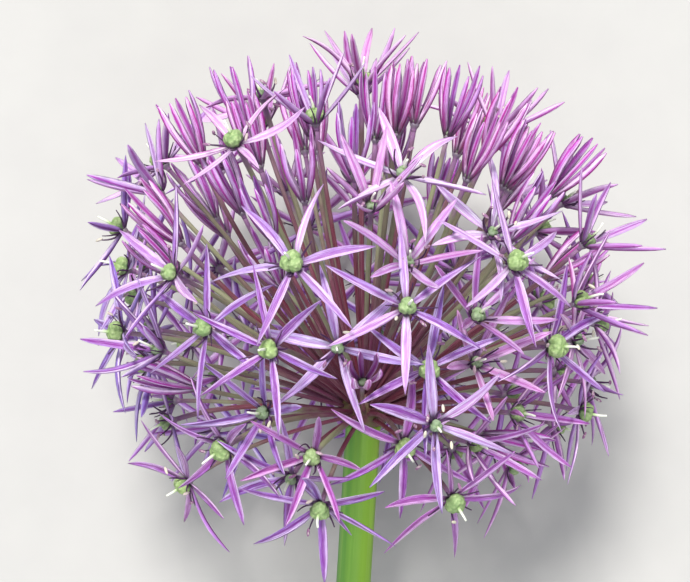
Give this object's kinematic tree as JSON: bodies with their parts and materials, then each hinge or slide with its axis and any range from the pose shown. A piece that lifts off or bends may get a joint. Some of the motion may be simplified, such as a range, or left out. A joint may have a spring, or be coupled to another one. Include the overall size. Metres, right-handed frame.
{
  "type": "allium flower head",
  "caption": "Round flower head of a star-flowered allium: starry lilac florets on thin pedicels that spread from a small dome on a stout cut green scape, laid on its side.",
  "frame": {"origin": "on the surface that the head lies on, under the middle of its outline", "axes": "+Z away from the surface, +Y from the cut end of the scape towards the top of the head, +X to the right of the side that was seen from the front"},
  "size_m": [0.1548, 0.2254, 0.1458],
  "materials": {
    "scape": "satin",
    "tepals": "satin"
  },
  "bodies": {
    "root": {"scape": "scape", "umbel": "tepals"}
  },
  "joints": []
}
